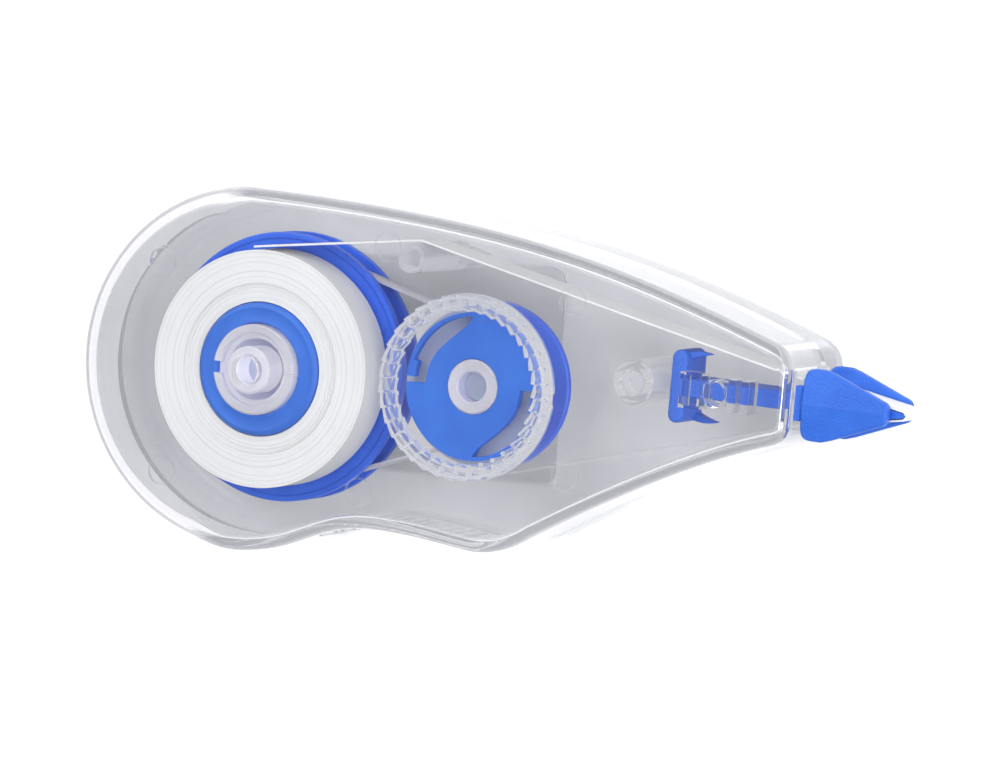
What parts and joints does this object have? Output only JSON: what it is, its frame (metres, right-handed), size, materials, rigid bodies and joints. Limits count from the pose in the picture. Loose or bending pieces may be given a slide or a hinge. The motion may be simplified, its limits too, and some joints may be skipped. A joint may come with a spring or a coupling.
{
  "type": "correction tape roller",
  "caption": "Hand-held correction tape roller: clear two-shell case, supply and take-up reels joined by a belt, and a swivelling tip that presses tape onto paper.",
  "frame": {"origin": "on the flat rear face of the case, under the axis of the supply spindle", "axes": "+X from the tail to the tip, along the tip's stem; +Y across the case, towards the side of the guide post; +Z through the thickness, from the rear shell to the front shell"},
  "size_m": [0.0975, 0.0396, 0.0156],
  "materials": {
    "clear_case": "polished clear polystyrene with a faint lilac-grey cast",
    "clear_spool": "clear moulded plastic",
    "label": "thin milky film, blank",
    "deep_blue": "satin moulded",
    "blue": "satin moulded, fine texture",
    "matte_blue": "spark-eroded matte texture",
    "tape": "matt white correction film on a glassine liner",
    "liner": "thin translucent release liner",
    "belt": "translucent flat rubber"
  },
  "bodies": {
    "case": {"rear_shell": "clear_case", "front_shell": "clear_case", "label": "label", "drive_belt": "belt", "feed_tape": "tape", "return_liner": "liner"},
    "supply_reel": {"supply_pulley": "deep_blue", "supply_core": "blue", "correction_tape_roll": "tape"},
    "take_up_drive": {"take_up_pulley": "deep_blue", "clutch_disc": "blue"},
    "take_up_reel": {"take_up_spool": "clear_spool", "used_liner_winding": "liner"},
    "tip": {"tip_head": "matte_blue", "tip_tape": "tape"}
  },
  "joints": [
    {"name": "supply_reel_spin", "type": "hinge", "parent": "case", "child": "supply_reel", "pos_m": [0, 0, 0.0072], "axis": [0, 0, 1], "continuous": true},
    {"name": "take_up_drive_spin", "type": "hinge", "parent": "case", "child": "take_up_drive", "pos_m": [0.02567, 0.00121, 0.0065], "axis": [0, 0, 1], "continuous": true},
    {"name": "clutch_slip", "type": "hinge", "parent": "take_up_drive", "child": "take_up_reel", "pos_m": [0.02567, 0.00121, 0.0095], "axis": [0, 0, 1], "continuous": true},
    {"name": "tip_swivel", "type": "hinge", "parent": "case", "child": "tip", "pos_m": [0.0555, 0.0043, 0.0091], "axis": [1, 0, 0], "range_deg": [-8, 8]}
  ],
  "couplings": [
    {"joint": "take_up_drive_spin", "follows": "supply_reel_spin", "ratio": 2.4528}
  ]
}
